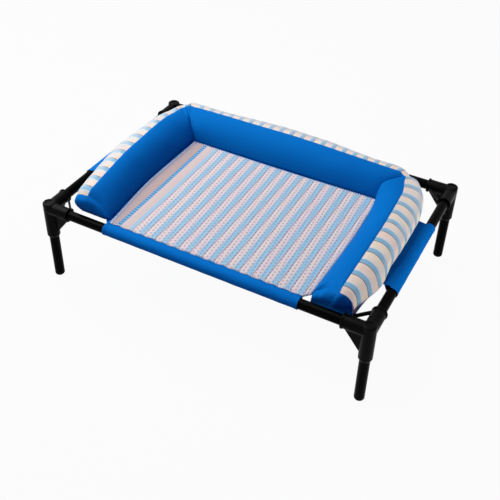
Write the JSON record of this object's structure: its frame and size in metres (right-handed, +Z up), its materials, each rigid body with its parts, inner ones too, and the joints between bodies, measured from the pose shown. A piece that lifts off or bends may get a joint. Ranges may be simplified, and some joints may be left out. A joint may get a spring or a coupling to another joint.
{
  "type": "raised dog cot",
  "caption": "Rectangular raised pet cot: a cloth sling on a tube frame with moulded corner sockets and push-fit legs, carrying a striped mat inside a stuffed bolster open at the front.",
  "frame": {"origin": "on the floor under the middle of the tube frame", "axes": "+X along the length to the right as seen from the open front, +Y to the back, +Z up"},
  "size_m": [0.8344, 0.5704, 0.2857],
  "materials": {
    "frame_tube": "satin black powder coat",
    "moulded_fitting": "fine moulded texture, black",
    "foot_cap": "matte moulded, black",
    "blue_cloth": "plain woven polyester, mid blue",
    "mat_mesh": "woven mesh, cream, pink and sky blue stripes",
    "striped_cloth": "woven cloth, cream, peach and sky blue stripes",
    "fibre_filling": "loose white polyester fibre"
  },
  "bodies": {
    "frame": {"front_rail": "frame_tube", "back_rail": "frame_tube", "left_rail": "frame_tube", "right_rail": "frame_tube", "corner_front_left": "moulded_fitting", "corner_front_right": "moulded_fitting", "corner_back_left": "moulded_fitting", "corner_back_right": "moulded_fitting", "front_sleeve": "blue_cloth", "back_sleeve": "blue_cloth", "left_sleeve": "blue_cloth", "right_sleeve": "blue_cloth", "sling": "blue_cloth", "sleeping_mat": "mat_mesh", "bolster_base": "blue_cloth", "inner_panel_left": "blue_cloth", "inner_panel_back": "blue_cloth", "inner_panel_right": "blue_cloth", "outer_panel_left": "striped_cloth", "outer_panel_back": "striped_cloth", "outer_panel_right": "striped_cloth", "end_panel_left": "blue_cloth", "end_panel_right": "blue_cloth", "filling_left": "fibre_filling", "filling_back": "fibre_filling", "filling_right": "fibre_filling"},
    "front_left_leg": {"leg_front_left": "frame_tube", "foot_front_left": "foot_cap"},
    "front_right_leg": {"leg_front_right": "frame_tube", "foot_front_right": "foot_cap"},
    "back_left_leg": {"leg_back_left": "frame_tube", "foot_back_left": "foot_cap"},
    "back_right_leg": {"leg_back_right": "frame_tube", "foot_back_right": "foot_cap"}
  },
  "joints": [
    {"name": "front_left_leg_pull", "type": "slide", "parent": "frame", "child": "front_left_leg", "axis": [0, 0, -1], "range_m": [0, 0.054]},
    {"name": "front_right_leg_pull", "type": "slide", "parent": "frame", "child": "front_right_leg", "axis": [0, 0, -1], "range_m": [0, 0.054]},
    {"name": "back_left_leg_pull", "type": "slide", "parent": "frame", "child": "back_left_leg", "axis": [0, 0, -1], "range_m": [0, 0.054]},
    {"name": "back_right_leg_pull", "type": "slide", "parent": "frame", "child": "back_right_leg", "axis": [0, 0, -1], "range_m": [0, 0.054]}
  ]
}
